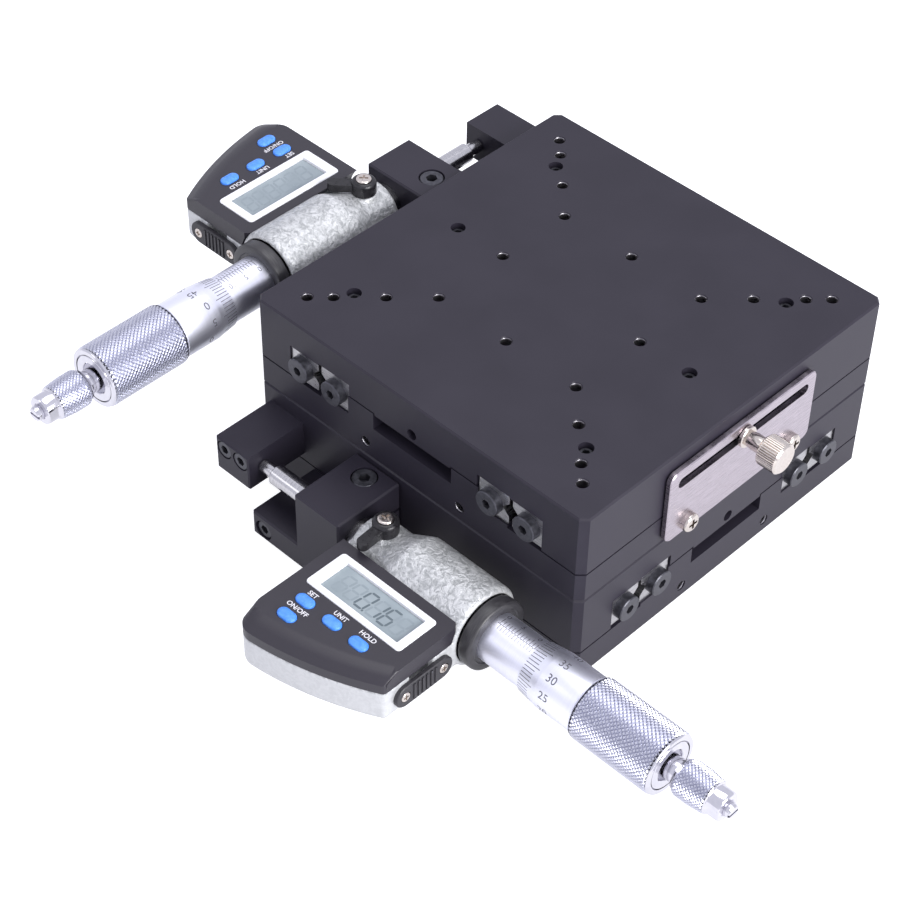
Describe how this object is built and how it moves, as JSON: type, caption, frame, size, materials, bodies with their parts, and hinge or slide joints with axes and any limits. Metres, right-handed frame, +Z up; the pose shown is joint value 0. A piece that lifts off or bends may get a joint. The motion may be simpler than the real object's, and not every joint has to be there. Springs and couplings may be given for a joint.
{
  "type": "two-axis linear translation stage",
  "caption": "Stacked crossed-roller translation stage: square black tables on ground rails, moved by digital micrometer heads with displays, locks and tapped mounting tops.",
  "frame": {"origin": "centre of the lower base's underside, with both tables at mid travel", "axes": "+X along the lower stage's travel towards its thimble, +Y across it, +Z up out of the upper table; the upper micrometer's thimble points to -Y"},
  "size_m": [0.2467, 0.1996, 0.0614],
  "materials": {
    "black_anodised": "black anodised, fine bead blast",
    "hardened_steel": "hardened and ground",
    "black_oxide_steel": "black oxide",
    "spring_steel": "drawn wire",
    "nickel_plate": "bright nickel plate",
    "ground_steel": "ground",
    "hammertone_paint": "silver hammertone enamel",
    "black_plastic": "moulded ABS, fine texture",
    "black_collar": "black anodised",
    "white_plastic": "moulded, semi-gloss",
    "display_glass": "grey-green liquid-crystal glass",
    "blue_plastic": "moulded silicone rubber",
    "rotor_brass": "turned",
    "satin_chrome": "satin chrome plate",
    "lever_steel": "black oxide"
  },
  "bodies": {
    "base": {"x_base_plate": "black_anodised", "x_base_rails": "hardened_steel", "x_base_screws": "black_oxide_steel", "x_bracket": "black_anodised", "x_mic_stem": "satin_chrome", "x_mic_frame": "hammertone_paint", "x_mic_cover": "black_plastic", "x_mic_bezel": "white_plastic", "x_mic_display": "display_glass", "x_mic_port_cover": "black_plastic", "x_mic_sleeve": "satin_chrome", "x_mic_collar": "black_collar", "x_lock_plate": "nickel_plate", "x_lock_plate_screws": "nickel_plate", "x_return_springs": "spring_steel"},
    "x_carriage": {"x_table": "black_anodised", "x_table_rails": "hardened_steel", "x_table_screws": "black_oxide_steel", "x_stop_block": "black_anodised", "y_base_plate": "black_anodised", "y_base_rails": "hardened_steel", "y_base_screws": "black_oxide_steel", "y_bracket": "black_anodised", "y_mic_stem": "satin_chrome", "y_mic_frame": "hammertone_paint", "y_mic_cover": "black_plastic", "y_mic_bezel": "white_plastic", "y_mic_display": "display_glass", "y_mic_port_cover": "black_plastic", "y_mic_sleeve": "satin_chrome", "y_mic_collar": "black_collar", "y_lock_plate": "nickel_plate", "y_lock_plate_screws": "nickel_plate", "y_return_springs": "spring_steel"},
    "y_carriage": {"y_table": "black_anodised", "y_table_rails": "hardened_steel", "y_table_screws": "black_oxide_steel", "y_stop_block": "black_anodised"},
    "x_cages": {"x_roller_cages": "hardened_steel"},
    "x_rotor": {"x_mic_rotor": "rotor_brass"},
    "x_spindle": {"x_mic_spindle": "ground_steel", "x_mic_thimble": "satin_chrome"},
    "x_ratchet": {"x_mic_ratchet": "satin_chrome"},
    "x_lock_lever": {"x_mic_lock_lever": "lever_steel"},
    "x_thumb_screw": {"x_thumb_screw": "nickel_plate"},
    "x_power_button": {"x_mic_power_button": "blue_plastic"},
    "x_set_button": {"x_mic_set_button": "blue_plastic"},
    "x_unit_button": {"x_mic_unit_button": "blue_plastic"},
    "x_hold_button": {"x_mic_hold_button": "blue_plastic"},
    "y_cages": {"y_roller_cages": "hardened_steel"},
    "y_rotor": {"y_mic_rotor": "rotor_brass"},
    "y_spindle": {"y_mic_spindle": "ground_steel", "y_mic_thimble": "satin_chrome"},
    "y_ratchet": {"y_mic_ratchet": "satin_chrome"},
    "y_lock_lever": {"y_mic_lock_lever": "lever_steel"},
    "y_thumb_screw": {"y_thumb_screw": "nickel_plate"},
    "y_power_button": {"y_mic_power_button": "blue_plastic"},
    "y_set_button": {"y_mic_set_button": "blue_plastic"},
    "y_unit_button": {"y_mic_unit_button": "blue_plastic"},
    "y_hold_button": {"y_mic_hold_button": "blue_plastic"}
  },
  "joints": [
    {"name": "x_micrometer_turn", "type": "hinge", "parent": "base", "child": "x_rotor", "pos_m": [0.025, -0.075, 0.0183], "axis": [1, 0, 0], "range_deg": [-9001, 9001]},
    {"name": "x_spindle_feed", "type": "slide", "parent": "x_rotor", "child": "x_spindle", "axis": [1, 0, 0], "range_m": [-0.0125, 0.0125]},
    {"name": "x_travel", "type": "slide", "parent": "base", "child": "x_carriage", "axis": [1, 0, 0], "range_m": [-0.0125, 0.0125], "deforming": ["x_return_springs"]},
    {"name": "x_cage_roll", "type": "slide", "parent": "base", "child": "x_cages", "axis": [1, 0, 0], "range_m": [-0.00625, 0.00625]},
    {"name": "x_ratchet_turn", "type": "hinge", "parent": "x_spindle", "child": "x_ratchet", "pos_m": [0.112, -0.075, 0.0183], "axis": [1, 0, 0], "continuous": true},
    {"name": "x_lock_lever_turn", "type": "hinge", "parent": "base", "child": "x_lock_lever", "pos_m": [0.0052, -0.0746, 0.029], "axis": [0, 0, -1], "range_deg": [-41, 14]},
    {"name": "x_thumb_screw_turn", "type": "hinge", "parent": "x_carriage", "child": "x_thumb_screw", "pos_m": [0, 0.065, 0.0205], "axis": [0, 1, 0], "range_deg": [-30, 360]},
    {"name": "x_power_button_press", "type": "slide", "parent": "base", "child": "x_power_button", "axis": [0, 0, -1], "range_m": [0, 0.0005], "stiffness_N_per_m": 1000, "springref_m": -0.0003},
    {"name": "x_set_button_press", "type": "slide", "parent": "base", "child": "x_set_button", "axis": [0, 0, -1], "range_m": [0, 0.0005], "stiffness_N_per_m": 1000, "springref_m": -0.0003},
    {"name": "x_unit_button_press", "type": "slide", "parent": "base", "child": "x_unit_button", "axis": [0, 0, -1], "range_m": [0, 0.0005], "stiffness_N_per_m": 1000, "springref_m": -0.0003},
    {"name": "x_hold_button_press", "type": "slide", "parent": "base", "child": "x_hold_button", "axis": [0, 0, -1], "range_m": [0, 0.0005], "stiffness_N_per_m": 1000, "springref_m": -0.0003},
    {"name": "y_micrometer_turn", "type": "hinge", "parent": "x_carriage", "child": "y_rotor", "pos_m": [-0.075, -0.025, 0.0478], "axis": [0, -1, 0], "range_deg": [-9001, 9001]},
    {"name": "y_spindle_feed", "type": "slide", "parent": "y_rotor", "child": "y_spindle", "axis": [0, -1, 0], "range_m": [-0.0125, 0.0125]},
    {"name": "y_travel", "type": "slide", "parent": "x_carriage", "child": "y_carriage", "axis": [0, -1, 0], "range_m": [-0.0125, 0.0125], "deforming": ["y_return_springs"]},
    {"name": "y_cage_roll", "type": "slide", "parent": "x_carriage", "child": "y_cages", "axis": [0, -1, 0], "range_m": [-0.00625, 0.00625]},
    {"name": "y_ratchet_turn", "type": "hinge", "parent": "y_spindle", "child": "y_ratchet", "pos_m": [-0.075, -0.112, 0.0478], "axis": [0, -1, 0], "continuous": true},
    {"name": "y_lock_lever_turn", "type": "hinge", "parent": "x_carriage", "child": "y_lock_lever", "pos_m": [-0.0746, -0.0052, 0.0585], "axis": [0, 0, -1], "range_deg": [-3, 52]},
    {"name": "y_thumb_screw_turn", "type": "hinge", "parent": "y_carriage", "child": "y_thumb_screw", "pos_m": [0.065, 0, 0.05], "axis": [1, 0, 0], "range_deg": [-30, 360]},
    {"name": "y_power_button_press", "type": "slide", "parent": "x_carriage", "child": "y_power_button", "axis": [0, 0, -1], "range_m": [0, 0.0005], "stiffness_N_per_m": 1000, "springref_m": -0.0003},
    {"name": "y_set_button_press", "type": "slide", "parent": "x_carriage", "child": "y_set_button", "axis": [0, 0, -1], "range_m": [0, 0.0005], "stiffness_N_per_m": 1000, "springref_m": -0.0003},
    {"name": "y_unit_button_press", "type": "slide", "parent": "x_carriage", "child": "y_unit_button", "axis": [0, 0, -1], "range_m": [0, 0.0005], "stiffness_N_per_m": 1000, "springref_m": -0.0003},
    {"name": "y_hold_button_press", "type": "slide", "parent": "x_carriage", "child": "y_hold_button", "axis": [0, 0, -1], "range_m": [0, 0.0005], "stiffness_N_per_m": 1000, "springref_m": -0.0003}
  ],
  "couplings": [
    {"joint": "x_micrometer_turn", "follows": "x_travel", "rad_per_m": 12566},
    {"joint": "x_spindle_feed", "follows": "x_travel", "ratio": 1},
    {"joint": "x_cage_roll", "follows": "x_travel", "ratio": 0.5},
    {"joint": "y_micrometer_turn", "follows": "y_travel", "rad_per_m": 12566},
    {"joint": "y_spindle_feed", "follows": "y_travel", "ratio": 1},
    {"joint": "y_cage_roll", "follows": "y_travel", "ratio": 0.5}
  ]
}
